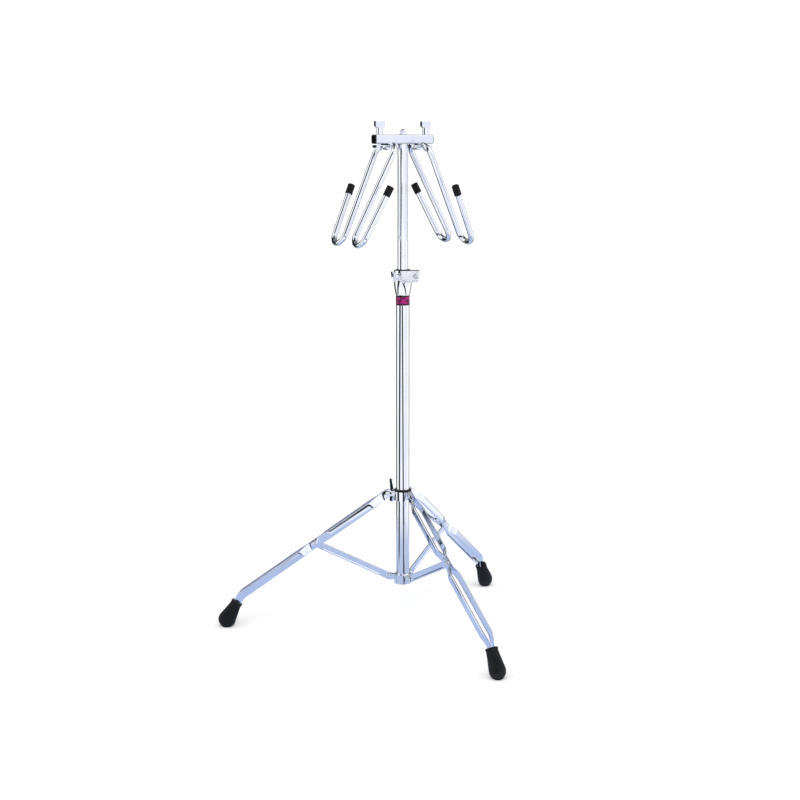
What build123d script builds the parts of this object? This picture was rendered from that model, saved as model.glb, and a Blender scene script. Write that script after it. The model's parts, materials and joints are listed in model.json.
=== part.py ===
"""Floor stand with a tripod base and a hooked cradle for a pair of hand cymbals.

Origin on the floor under the mast axis, +X along the cradle bar, +Z up. Millimetres.
"""
import os
from math import asin, cos, degrees, radians, sin, sqrt

from build123d import *

os.makedirs("parts", exist_ok=True)

# ---- tubes ---------------------------------------------------------------------------------------
lower_tube_od = 28.6
lower_tube_wall = 1.5
lower_tube_bottom = 102.0
lower_tube_length = 653.0
upper_tube_od = 22.2
upper_tube_wall = 1.5
mast_top = 1046.5
mast_overlap = 275.0
running_clearance = 0.05
face_gap = 0.3

# ---- tripod --------------------------------------------------------------------------------------
leg_azimuths = {"left": 150.0, "front": 270.0, "back": 30.0}
leg_length = 395.2
leg_slope = 35.5
foot_slope = 60.0
waist_distance = 193.5
collar_pivot_radius = 32.0
hub_pivot_radius = 31.0
hub_pivot_height = 117.0
brace_fall = 71.8
folded_leg_angle = 4.0
leg_width = 17.5
strap_thickness = 1.6
strap_spread = 21.0
strap_flange = 1.2
brace_width = 15.5
brace_thickness = 3.4
ear_thickness = 4.0
pivot_pin_radius = 3.0
rivet_head_radius = 5.2
rivet_head_height = 2.2
rivet_head_taper = 35
head_clearance = 0.1

# ---- collar and hub ------------------------------------------------------------------------------
collar_height = 20.0
collar_od = 38.0
collar_bushing_wall = 1.7
collar_flange_height = 4.0
collar_flange_taper = 12
collar_pivot_inset = 5.0
collar_wing_rise = 12.0
hub_height = 20.0
hub_od = 37.0
clevis_ear_thickness = 2.5
clevis_play = 0.5
wing_azimuth = 90.0
screw_radius = 3.0

# ---- feet ----------------------------------------------------------------------------------------
foot_top_distance = 17.0
foot_top_radius = 12.8
foot_radius = 17.6
foot_flat_depth = 0.8
foot_core_thickness = 6.0

# ---- height clamp --------------------------------------------------------------------------------
band_height = 21.2
band_thickness = 0.3
skirt_height = 27.4
clamp_height = 24.0
clamp_od = 38.0
clamp_turn = -29.0
clamp_wing_azimuth = 203.0
ear_reach = 35.0
ear_front = 20.5
ear_back = 12.0
clamp_slit = 3.0
pinch_screw_offset = 27.0
clamp_seat_rise = 3.8
band_gap = 1.0

# ---- cradle --------------------------------------------------------------------------------------
bar_length = 135.0
bar_depth = 21.0
bar_height = 19.0
bar_corner = 3.5
rod_diameter = 12.0
run_offset = 36.0
run_half_length = 41.4
run_drop = 1.4
arm_drop = 201.0
arm_spread = 95.3
arm_pull_in = 20.0
hook_spacing = 46.0
hook_length = 133.0
hook_flare = 3.0
arm_corner_radius = 22.0
tip_diameter = 15.8
tip_length = 22.0
t_bolt_offset = 55.0
jaw_pivot_offset = 20.7
jaw_pivot_rise = 4.5
jaw_thickness = 5.5
jaw_gap = 2.4
jaw_wall = 5.2
bolt_radius = 4.0
t_bolt_radius = 3.0
nut_radius = 5.8
nut_height = 5.0
nut_clearance = 0.9

# ---- worked out from the sizes above -------------------------------------------------------------
tube_radius = lower_tube_od / 2
tube_bore = tube_radius - lower_tube_wall
mast_radius = upper_tube_od / 2
mast_bore = mast_radius - upper_tube_wall
lower_tube_top = lower_tube_bottom + lower_tube_length
mast_bottom = lower_tube_top - mast_overlap
leg_angle = 90 - leg_slope
waist_radius = collar_pivot_radius + waist_distance * sin(radians(leg_angle))
brace_length = sqrt((waist_radius - hub_pivot_radius) ** 2 + brace_fall**2)
waist_height = hub_pivot_height + brace_fall
collar_pivot_height = waist_height + waist_distance * cos(radians(leg_angle))
collar_top = collar_pivot_height + collar_pivot_inset
collar_bottom = collar_top - collar_height
hub_bottom = lower_tube_bottom
ear_gap = ear_thickness / 2 + face_gap
end_width = leg_width / 2
foot_bend = foot_slope - leg_slope
rod_radius = rod_diameter / 2
bar_bottom = mast_top
bar_top = bar_bottom + bar_height
bar_middle = bar_bottom + bar_height / 2
run_height = bar_bottom - run_drop
clamp_bottom = lower_tube_top + clamp_seat_rise
clamp_top = clamp_bottom + clamp_height
clamp_middle = clamp_bottom + clamp_height / 2
beyond = 2.0
band_bottom = clamp_bottom - skirt_height - band_height - band_gap


def outward(azimuth):
    """Unit vector away from the mast axis."""
    return Vector(cos(radians(azimuth)), sin(radians(azimuth)), 0)


def sideways(azimuth):
    """Unit vector across a leg, level."""
    return Vector(sin(radians(azimuth)), -cos(radians(azimuth)), 0)


def radial_plane(azimuth, radius, height):
    """x outward, y up, z across."""
    origin = outward(azimuth) * radius + Vector(0, 0, height)
    return Plane(origin=origin, x_dir=outward(azimuth), z_dir=sideways(azimuth))


def across_plane(azimuth, radius, height):
    """z outward along a radial screw, x across."""
    origin = outward(azimuth) * radius + Vector(0, 0, height)
    return Plane(origin=origin, x_dir=sideways(azimuth), z_dir=outward(azimuth))


def leg_side(azimuth):
    """x along the leg from its collar pivot, y across its width, z sideways."""
    pivot = outward(azimuth) * collar_pivot_radius + Vector(0, 0, collar_pivot_height)
    slope = radians(leg_slope)
    along = outward(azimuth) * cos(slope) - Vector(0, 0, sin(slope))
    return Plane(origin=pivot, x_dir=along, z_dir=sideways(azimuth))


def leg_plan(azimuth):
    """x along the leg, y sideways, z across its width."""
    side = leg_side(azimuth)
    return Plane(origin=side.origin, x_dir=side.x_dir, z_dir=side.y_dir)


def foot_side(azimuth):
    """x down the foot's axis from the bend in the leg, z sideways."""
    side = leg_side(azimuth)
    slope = radians(foot_slope)
    down = outward(azimuth) * cos(slope) - Vector(0, 0, sin(slope))
    return Plane(origin=side.origin + side.x_dir * leg_length, x_dir=down, z_dir=side.z_dir)


def brace_side(azimuth):
    """x along the brace from the hub pivot, z sideways."""
    pivot = outward(azimuth) * hub_pivot_radius + Vector(0, 0, hub_pivot_height)
    waist = outward(azimuth) * waist_radius + Vector(0, 0, waist_height)
    return Plane(origin=pivot, x_dir=(waist - pivot).normalized(), z_dir=sideways(azimuth))


def rivet_on(plane, reach, tail):
    """A rivet on the plane's normal: shank between tail and reach, a domed head past reach."""
    with BuildSketch(plane.offset(tail)) as shank:
        Circle(pivot_pin_radius)
    extrude(shank.sketch, amount=reach - tail)
    with BuildSketch(plane.offset(reach)) as head:
        Circle(rivet_head_radius)
    extrude(head.sketch, amount=rivet_head_height, taper=rivet_head_taper)


# ---- lower tube and its bottom plug --------------------------------------------------------------
with BuildPart() as lower_tube:
    with BuildSketch(Plane.XY.offset(lower_tube_bottom)):
        Circle(tube_radius)
        Circle(tube_bore, mode=Mode.SUBTRACT)
    extrude(amount=lower_tube_length)
lower_tube.part.label = "lower_tube"
export_step(lower_tube.part, "parts/lower_tube.step")

plug_depth = 14.0
plug_flange = 1.5
plug_wall = 2.5
with BuildPart() as tube_bottom_plug:
    with BuildSketch(Plane.XY.offset(lower_tube_bottom)):
        Circle(tube_bore)
    extrude(amount=plug_depth)
    with BuildSketch(Plane.XY.offset(lower_tube_bottom - plug_flange)):
        Circle(tube_radius)
    extrude(amount=plug_flange)
    with BuildSketch(Plane.XY.offset(lower_tube_bottom + plug_flange)):
        Circle(tube_bore - plug_wall)
    extrude(amount=plug_depth, mode=Mode.SUBTRACT)
tube_bottom_plug.part.label = "tube_bottom_plug"
export_step(tube_bottom_plug.part, "parts/tube_bottom_plug.step")

# ---- brace hub: a ring on the tube's lower end with three clevises -------------------------------
clevis_ear_radius = 7.5
clevis_root_height = 12.5
clevis_root_drop = 1.25
set_screw_radius = 3.0
set_screw_head = 1.6
set_screw_head_height = 3.0
set_screw_slot = 1.0
brace_gap = brace_thickness / 2 + clevis_play
clevis_outside = brace_gap + clevis_ear_thickness
hub_middle = hub_bottom + hub_height / 2
with BuildPart() as brace_hub:
    with BuildSketch(Plane.XY.offset(hub_bottom)):
        Circle(hub_od / 2)
    extrude(amount=hub_height)
    for azimuth in leg_azimuths.values():
        for turn in (1, -1):
            ear = radial_plane(azimuth, hub_pivot_radius, hub_pivot_height)
            start = brace_gap if turn > 0 else -brace_gap
            with BuildSketch(ear.offset(start)):
                Circle(clevis_ear_radius)
                with Locations((-hub_pivot_radius / 4, -clevis_root_drop)):
                    Rectangle(hub_pivot_radius / 2, clevis_root_height)
            extrude(amount=turn * clevis_ear_thickness)
            with BuildSketch(ear):
                Circle(pivot_pin_radius)
            extrude(amount=clevis_outside + beyond, both=True, mode=Mode.SUBTRACT)
    with BuildSketch(Plane.XY.offset(hub_bottom - beyond)):
        Circle(tube_radius)
    extrude(amount=hub_height + 2 * beyond, mode=Mode.SUBTRACT)
    with BuildSketch(across_plane(wing_azimuth, tube_bore, hub_middle)):
        Circle(set_screw_radius)
    extrude(amount=hub_od / 2, mode=Mode.SUBTRACT)
brace_hub.part.label = "brace_hub"
export_step(brace_hub.part, "parts/brace_hub.step")

with BuildPart() as hub_set_screw:
    with BuildSketch(across_plane(wing_azimuth, tube_radius, hub_middle)):
        Circle(set_screw_radius)
    extrude(amount=hub_od / 2 - tube_radius)
    with BuildSketch(across_plane(wing_azimuth, hub_od / 2, hub_middle)):
        Circle(set_screw_radius + set_screw_head)
    extrude(amount=set_screw_head_height, taper=15)
    slot_floor = hub_od / 2 + set_screw_head_height * 0.6
    with BuildSketch(across_plane(wing_azimuth, slot_floor, hub_middle)):
        Rectangle(3 * set_screw_radius, set_screw_slot)
    extrude(amount=set_screw_head_height, mode=Mode.SUBTRACT)
hub_set_screw.part.label = "hub_set_screw"
export_step(hub_set_screw.part, "parts/hub_set_screw.step")

with BuildPart() as hub_rivets:
    for azimuth in leg_azimuths.values():
        ear = radial_plane(azimuth, hub_pivot_radius, hub_pivot_height)
        rivet_on(ear, clevis_outside, 0)
        back = Plane(origin=ear.origin, x_dir=ear.x_dir, z_dir=-ear.z_dir)
        rivet_on(back, clevis_outside, 0)
hub_rivets.part.label = "hub_rivets"
export_step(hub_rivets.part, "parts/hub_rivets.step")

# ---- sliding leg collar --------------------------------------------------------------------------
collar_ear_radius = 6.5
collar_ear_root_height = 11.0
wing_height = collar_bottom + collar_wing_rise
boss_radius = 8.0
boss_reach = 27.0
bushing_inner = tube_radius + running_clearance
bushing_outer = bushing_inner + collar_bushing_wall
with BuildPart() as leg_collar:
    with BuildSketch(Plane.XY.offset(collar_bottom)):
        Circle(collar_od / 2)
    extrude(amount=collar_height)
    with BuildSketch(across_plane(wing_azimuth, 0, wing_height)):
        Circle(boss_radius)
    extrude(amount=boss_reach)
    for azimuth in leg_azimuths.values():
        ear = radial_plane(azimuth, collar_pivot_radius, collar_pivot_height)
        with BuildSketch(ear):
            Circle(collar_ear_radius)
            with Locations((-collar_pivot_radius / 4, -1.0)):
                Rectangle(collar_pivot_radius / 2, collar_ear_root_height)
        extrude(amount=ear_thickness / 2, both=True)
        with BuildSketch(ear):
            Circle(pivot_pin_radius)
        extrude(amount=ear_thickness, both=True, mode=Mode.SUBTRACT)
    with BuildSketch(Plane.XY.offset(collar_bottom - beyond)):
        Circle(bushing_outer)
    extrude(amount=collar_height + 2 * beyond, mode=Mode.SUBTRACT)
    with BuildSketch(across_plane(wing_azimuth, 0, wing_height)):
        Circle(screw_radius + running_clearance)
    extrude(amount=boss_reach + beyond, mode=Mode.SUBTRACT)
leg_collar.part.label = "leg_collar"
export_step(leg_collar.part, "parts/leg_collar.step")

with BuildPart() as leg_collar_bushing:
    with BuildSketch(Plane.XY.offset(collar_bottom)):
        Circle(bushing_outer)
    extrude(amount=collar_height)
    with BuildSketch(Plane.XY.offset(collar_top)):
        Circle(collar_od / 2)
    extrude(amount=collar_flange_height, taper=collar_flange_taper)
    with BuildSketch(Plane.XY.offset(collar_bottom - beyond)):
        Circle(bushing_inner)
    extrude(amount=collar_height + collar_flange_height + 2 * beyond, mode=Mode.SUBTRACT)
    with BuildSketch(across_plane(wing_azimuth, 0, wing_height)):
        Circle(screw_radius + face_gap)
    extrude(amount=boss_reach, mode=Mode.SUBTRACT)
leg_collar_bushing.part.label = "leg_collar_bushing"
export_step(leg_collar_bushing.part, "parts/leg_collar_bushing.step")

strap_outside = ear_gap + strap_thickness
with BuildPart() as collar_rivets:
    for azimuth in leg_azimuths.values():
        ear = radial_plane(azimuth, collar_pivot_radius, collar_pivot_height)
        rivet_on(ear, strap_outside + head_clearance, 0)
        back = Plane(origin=ear.origin, x_dir=ear.x_dir, z_dir=-ear.z_dir)
        rivet_on(back, strap_outside + head_clearance, 0)
collar_rivets.part.label = "collar_rivets"
export_step(collar_rivets.part, "parts/collar_rivets.step")


wing_hub_radius = 6.5
wing_hub_taper = 6
wing_thickness = 4.4
wing_lap = 3.0


def wing_screw(azimuth, height, tip, seat, hub_length, wing_span, wing_reach):
    """A radial screw with a round hub and a flat upright wing."""
    with BuildSketch(across_plane(azimuth, tip, height)) as shank:
        Circle(screw_radius)
    extrude(shank.sketch, amount=seat - tip)
    with BuildSketch(across_plane(azimuth, seat, height)) as hub:
        Circle(wing_hub_radius)
    extrude(hub.sketch, amount=hub_length, taper=wing_hub_taper)
    root = seat + hub_length - wing_lap
    with BuildSketch(radial_plane(azimuth, root, height)) as wing:
        with BuildLine():
            Polyline(
                (0, -wing_hub_radius * 0.7),
                (wing_reach * 0.45, -wing_span / 2),
                (wing_reach, -wing_span / 2),
                (wing_reach * 0.8, 0),
                (wing_reach, wing_span / 2),
                (wing_reach * 0.45, wing_span / 2),
                (0, wing_hub_radius * 0.7),
                close=True,
            )
        make_face()
    extrude(wing.sketch, amount=wing_thickness / 2, both=True)


collar_wing_hub = 13.0
collar_wing_span = 50.0
collar_wing_reach = 19.0
with BuildPart() as collar_wing_screw:
    wing_screw(
        wing_azimuth,
        wing_height,
        bushing_inner + face_gap,
        boss_reach + running_clearance,
        hub_length=collar_wing_hub,
        wing_span=collar_wing_span,
        wing_reach=collar_wing_reach,
    )
collar_wing_screw.part.label = "collar_wing_screw"
export_step(collar_wing_screw.part, "parts/collar_wing_screw.step")

# ---- legs: two formed straps, a spacer, waist rivets and a rubber foot each -----------------------
waist_flat = 31.0
foot_insert = 48.0
joggle = 19.0
root_flat = 16.0
core_half = foot_core_thickness / 2
spread_half = strap_spread / 2
waist_start = waist_distance - waist_flat / 2
waist_end = waist_distance + waist_flat / 2
root_joggle = 26.0
foot_joggle = 24.0
foot_joggle_end = leg_length + 11.0
strap_points = [
    (-end_width - beyond, ear_gap),
    (root_flat, ear_gap),
    (root_flat + root_joggle, spread_half),
    (waist_start - joggle, spread_half),
    (waist_start, ear_gap),
    (waist_end, ear_gap),
    (waist_end + joggle, spread_half),
    (foot_joggle_end - foot_joggle, spread_half),
    (foot_joggle_end, core_half),
    (leg_length + foot_insert + leg_width + beyond, core_half),
]
strap_bend_radius = 12.0
lip_height = 4.0
lip_step = 0.8
core_start = 21.0
flange_lap = strap_thickness / 2
flange_lean = strap_flange * 1.9
groove_inset = 22.0
groove_width = 8.0
groove_depth = 0.8
spread_zones = [(strap_points[2][0], strap_points[3][0]), (strap_points[6][0], strap_points[7][0])]

for leg_name, azimuth in leg_azimuths.items():
    for strap_name, hand in (("near", 1), ("far", -1)):
        with BuildPart() as strap:
            with BuildSketch(leg_plan(azimuth)):
                with BuildLine():
                    inner = FilletPolyline(*[(u, hand * v) for u, v in strap_points], radius=strap_bend_radius)
                    outer = FilletPolyline(
                        *[(u, hand * (v + strap_thickness)) for u, v in strap_points], radius=strap_bend_radius
                    )
                    Line(inner @ 0, outer @ 0)
                    Line(inner @ 1, outer @ 1)
                make_face()
            extrude(amount=4 * leg_width, both=True)
            with BuildSketch(leg_side(azimuth)):
                with Locations((leg_length / 2, 0)):
                    SlotCenterToCenter(leg_length, leg_width)
                end = Vector(cos(radians(foot_bend)), -sin(radians(foot_bend)), 0)
                with Locations((leg_length + end.X * foot_insert / 2, end.Y * foot_insert / 2)):
                    SlotCenterToCenter(foot_insert, leg_width, rotation=-foot_bend)
            extrude(amount=2 * strap_spread, both=True, mode=Mode.INTERSECT)
            for zone_start, zone_end in spread_zones:
                for level in (-end_width, end_width - strap_thickness):
                    with BuildSketch(leg_plan(azimuth).offset(level)):
                        with BuildLine():
                            Polyline(
                                (zone_start - flange_lean, hand * (spread_half - strap_flange)),
                                (zone_start, hand * (spread_half + flange_lap)),
                                (zone_end, hand * (spread_half + flange_lap)),
                                (zone_end + flange_lean, hand * (spread_half - strap_flange)),
                                close=True,
                            )
                        make_face()
                    extrude(amount=strap_thickness)
            with BuildSketch(leg_side(azimuth)):
                Circle(pivot_pin_radius + running_clearance)
                with Locations((waist_distance, 0)):
                    Circle(pivot_pin_radius)
            extrude(amount=strap_spread, both=True, mode=Mode.SUBTRACT)
        strap.part.label = f"leg_{leg_name}_strap_{strap_name}"
        export_step(strap.part, f"parts/leg_{leg_name}_strap_{strap_name}.step")

    with BuildPart() as spacer:
        with BuildSketch(foot_side(azimuth)):
            with Locations(((core_start + foot_insert) / 2, 0)):
                Rectangle(foot_insert - core_start, leg_width)
            with Locations((foot_insert, 0)):
                Circle(end_width)
        extrude(amount=core_half, both=True)
    spacer.part.label = f"leg_{leg_name}_foot_spacer"
    export_step(spacer.part, f"parts/leg_{leg_name}_foot_spacer.step")

    with BuildPart() as waist_rivets:
        side = leg_side(azimuth)
        waist = Plane(origin=side.origin + side.x_dir * waist_distance, x_dir=side.x_dir, z_dir=side.z_dir)
        rivet_on(waist, strap_outside, ear_gap)
        back = Plane(origin=waist.origin, x_dir=waist.x_dir, z_dir=-waist.z_dir)
        rivet_on(back, strap_outside, ear_gap)
    waist_rivets.part.label = f"leg_{leg_name}_waist_rivets"
    export_step(waist_rivets.part, f"parts/leg_{leg_name}_waist_rivets.step")

    with BuildPart() as foot:
        axis_plane = foot_side(azimuth)
        dome_center = (axis_plane.origin.Z - foot_radius + foot_flat_depth) / sin(radians(foot_slope))
        with BuildSketch(axis_plane):
            with BuildLine():
                top = Line((foot_top_distance, 0), (foot_top_distance, foot_top_radius))
                lip = Line(top @ 1, (foot_top_distance + lip_height, foot_top_radius))
                neck = Line(lip @ 1, (foot_top_distance + lip_height, foot_top_radius - lip_step))
                flank = Line(neck @ 1, (dome_center - 6.0, foot_radius - 0.5))
                dome = ThreePointArc(
                    flank @ 1,
                    (dome_center + foot_radius * 0.62, foot_radius * 0.785),
                    (dome_center + foot_radius, 0),
                )
                Line(dome @ 1, top @ 0)
            make_face()
        revolve(axis=Axis(axis_plane.origin, axis_plane.x_dir))
        split(bisect_by=Plane.XY, keep=Keep.TOP)
        with BuildSketch(axis_plane):
            with Locations((foot_insert / 2, 0)):
                Rectangle(foot_insert, leg_width)
            with Locations((foot_insert, 0)):
                Circle(end_width)
        extrude(amount=core_half + strap_thickness, both=True, mode=Mode.SUBTRACT)
    foot.part.label = f"leg_{leg_name}_rubber_foot"
    export_step(foot.part, f"parts/leg_{leg_name}_rubber_foot.step")

    with BuildPart() as brace:
        with BuildSketch(brace_side(azimuth)):
            with Locations((brace_length / 2, 0)):
                SlotCenterToCenter(brace_length, brace_width)
            with Locations((0, 0), (brace_length, 0)):
                Circle(pivot_pin_radius + running_clearance, mode=Mode.SUBTRACT)
        extrude(amount=brace_thickness / 2, both=True)
        for face in (1, -1):
            with BuildSketch(brace_side(azimuth).offset(face * brace_thickness / 2)):
                with Locations((brace_length / 2, 0)):
                    SlotCenterToCenter(brace_length - 2 * groove_inset, groove_width)
            extrude(amount=-face * groove_depth, mode=Mode.SUBTRACT)
    brace.part.label = f"brace_{leg_name}"
    export_step(brace.part, f"parts/brace_{leg_name}.step")

# ---- coloured band and height clamp --------------------------------------------------------------
with BuildPart() as colour_band:
    with BuildSketch(Plane.XY.offset(band_bottom)):
        Circle(tube_radius + band_thickness)
        Circle(tube_radius, mode=Mode.SUBTRACT)
    extrude(amount=band_height)
colour_band.part.label = "colour_band"
export_step(colour_band.part, "parts/colour_band.step")

clamp_plane = Plane(origin=(0, 0, clamp_bottom), x_dir=outward(clamp_turn), z_dir=(0, 0, 1))
pinch_plane = Plane(
    origin=outward(clamp_turn) * pinch_screw_offset + Vector(0, 0, clamp_middle),
    x_dir=outward(clamp_turn),
    z_dir=sideways(clamp_turn),
)
pinch_screw_radius = 3.0
pinch_head_radius = 6.0
pinch_head_height = 3.6
pinch_socket = 2.4
pinch_tail = nut_height + 1.0
clamp_boss_radius = 8.5
ear_corner = 2.5
slit_start = 6.0
clamp_boss_reach = 20.5
skirt_lip = 0.4
skirt_bottom_radius = tube_radius + skirt_lip
cup_swell = 1.5
mast_hole = mast_radius + running_clearance
with BuildPart() as height_clamp:
    with BuildSketch(Plane.XZ):
        with BuildLine():
            foot_line = Line((0, clamp_bottom - skirt_height), (skirt_bottom_radius, clamp_bottom - skirt_height))
            cup = ThreePointArc(
                foot_line @ 1,
                (clamp_od / 2 - cup_swell, clamp_bottom - skirt_height * 0.55),
                (clamp_od / 2, clamp_bottom),
            )
            wall = Line(cup @ 1, (clamp_od / 2, clamp_top))
            lid = Line(wall @ 1, (0, clamp_top))
            Line(lid @ 1, foot_line @ 0)
        make_face()
    revolve(axis=Axis.Z)
    with BuildSketch(clamp_plane):
        with Locations(((ear_reach - 2 * ear_corner) / 2, (ear_back - ear_front) / 2)):
            RectangleRounded(ear_reach + 2 * ear_corner, ear_front + ear_back, ear_corner)
    extrude(amount=clamp_height)
    with BuildSketch(across_plane(clamp_wing_azimuth, 0, clamp_middle)):
        Circle(clamp_boss_radius)
    extrude(amount=clamp_boss_reach)
    with BuildSketch(Plane.XY.offset(lower_tube_top)):
        Circle(tube_radius)
    extrude(amount=-skirt_height, mode=Mode.SUBTRACT)
    with BuildSketch(Plane.XY.offset(lower_tube_top)):
        Circle(tube_bore)
    extrude(amount=clamp_height * 2, mode=Mode.SUBTRACT)
    with BuildSketch(clamp_plane):
        with Locations((ear_reach / 2 + slit_start, 0)):
            Rectangle(ear_reach, clamp_slit)
    extrude(amount=clamp_height, mode=Mode.SUBTRACT)
    with BuildSketch(pinch_plane):
        Circle(pinch_screw_radius)
    extrude(amount=ear_reach, both=True, mode=Mode.SUBTRACT)
    with BuildSketch(across_plane(clamp_wing_azimuth, 0, clamp_middle)):
        Circle(screw_radius + running_clearance)
    extrude(amount=clamp_boss_reach + beyond, mode=Mode.SUBTRACT)
height_clamp.part.label = "height_clamp"
export_step(height_clamp.part, "parts/height_clamp.step")

bushing_depth = 26.0
bushing_rim = 3.5
bushing_lid = 2.0
with BuildPart() as clamp_bushing:
    with BuildSketch(Plane.XY.offset(lower_tube_top - bushing_depth)):
        Circle(tube_bore)
        Circle(mast_hole, mode=Mode.SUBTRACT)
    extrude(amount=clamp_top - lower_tube_top + bushing_depth)
    with BuildSketch(Plane.XY.offset(clamp_top)):
        Circle(clamp_od / 2 - bushing_rim)
        Circle(mast_hole, mode=Mode.SUBTRACT)
    extrude(amount=bushing_lid)
    with BuildSketch(across_plane(clamp_wing_azimuth, 0, clamp_middle)):
        Circle(screw_radius + face_gap)
    extrude(amount=clamp_boss_reach, mode=Mode.SUBTRACT)
clamp_bushing.part.label = "clamp_bushing"
export_step(clamp_bushing.part, "parts/clamp_bushing.step")

clamp_wing_hub = 9.0
clamp_wing_span = 22.5
clamp_wing_reach = 12.0
with BuildPart() as clamp_wing_bolt:
    wing_screw(
        clamp_wing_azimuth,
        clamp_middle,
        mast_hole + face_gap,
        clamp_boss_reach + running_clearance,
        hub_length=clamp_wing_hub,
        wing_span=clamp_wing_span,
        wing_reach=clamp_wing_reach,
    )
clamp_wing_bolt.part.label = "clamp_wing_bolt"
export_step(clamp_wing_bolt.part, "parts/clamp_wing_bolt.step")

with BuildPart() as clamp_pinch_screw:
    with BuildSketch(pinch_plane.offset(-ear_back - pinch_tail)):
        Circle(pinch_screw_radius)
    extrude(amount=ear_front + ear_back + pinch_tail)
    with BuildSketch(pinch_plane.offset(ear_front)):
        Circle(pinch_head_radius)
    extrude(amount=pinch_head_height, taper=14)
    with BuildSketch(pinch_plane.offset(ear_front + pinch_head_height / 2)):
        RegularPolygon(pinch_socket, 6)
    extrude(amount=pinch_head_height, mode=Mode.SUBTRACT)
clamp_pinch_screw.part.label = "clamp_pinch_screw"
export_step(clamp_pinch_screw.part, "parts/clamp_pinch_screw.step")

with BuildPart() as clamp_pinch_nut:
    with BuildSketch(pinch_plane.offset(-ear_back)):
        RegularPolygon(nut_radius, 6)
        Circle(pinch_screw_radius, mode=Mode.SUBTRACT)
    extrude(amount=-nut_height)
clamp_pinch_nut.part.label = "clamp_pinch_nut"
export_step(clamp_pinch_nut.part, "parts/clamp_pinch_nut.step")

# ---- mast ----------------------------------------------------------------------------------------
with BuildPart() as upper_tube:
    with BuildSketch(Plane.XY.offset(mast_bottom)):
        Circle(mast_radius)
        Circle(mast_bore, mode=Mode.SUBTRACT)
    extrude(amount=mast_top - mast_bottom)
upper_tube.part.label = "upper_tube"
export_step(upper_tube.part, "parts/upper_tube.step")

guide_length = 30.0
with BuildPart() as upper_tube_guide:
    with BuildSketch(Plane.XY.offset(mast_bottom)):
        Circle(tube_bore - running_clearance)
        Circle(mast_radius, mode=Mode.SUBTRACT)
    extrude(amount=guide_length)
upper_tube_guide.part.label = "upper_tube_guide"
export_step(upper_tube_guide.part, "parts/upper_tube_guide.step")

insert_length = 34.0
bolt_tail = 3.0
with BuildPart() as mast_top_insert:
    with BuildSketch(Plane.XY.offset(mast_top - insert_length)):
        Circle(mast_bore)
        Circle(bolt_radius, mode=Mode.SUBTRACT)
    extrude(amount=insert_length)
mast_top_insert.part.label = "mast_top_insert"
export_step(mast_top_insert.part, "parts/mast_top_insert.step")

washer_height = 1.4
washer_radius = 7.6
acorn_height = 10.4
acorn_hex = 6.6
dome_radius = 5.6
acorn_bore = acorn_height * 0.6
acorn_bottom = bar_top + washer_height
dome_middle = acorn_bottom + acorn_height - dome_radius
with BuildPart() as pivot_bolt:
    with BuildSketch(Plane.XY.offset(mast_top - insert_length - bolt_tail)):
        Circle(bolt_radius)
    extrude(amount=bolt_tail + insert_length + bar_height + washer_height + acorn_bore)
pivot_bolt.part.label = "pivot_bolt"
export_step(pivot_bolt.part, "parts/pivot_bolt.step")

with BuildPart() as pivot_washer:
    with BuildSketch(Plane.XY.offset(bar_top)):
        Circle(washer_radius)
        Circle(bolt_radius, mode=Mode.SUBTRACT)
    extrude(amount=washer_height)
pivot_washer.part.label = "pivot_washer"
export_step(pivot_washer.part, "parts/pivot_washer.step")

with BuildPart() as acorn_nut:
    with BuildSketch(Plane.XY.offset(acorn_bottom)):
        RegularPolygon(acorn_hex, 6)
    extrude(amount=acorn_height * 0.5)
    with BuildSketch(Plane.XZ):
        with BuildLine():
            base = Line((0, acorn_bottom), (dome_radius, acorn_bottom))
            rise = Line(base @ 1, (dome_radius, dome_middle))
            crown = RadiusArc(rise @ 1, (0, acorn_bottom + acorn_height), -dome_radius)
            Line(crown @ 1, base @ 0)
        make_face()
    revolve(axis=Axis.Z)
    with BuildSketch(Plane.XY.offset(bar_top)):
        Circle(bolt_radius)
    extrude(amount=washer_height + acorn_bore, mode=Mode.SUBTRACT)
acorn_nut.part.label = "acorn_nut"
export_step(acorn_nut.part, "parts/acorn_nut.step")

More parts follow.
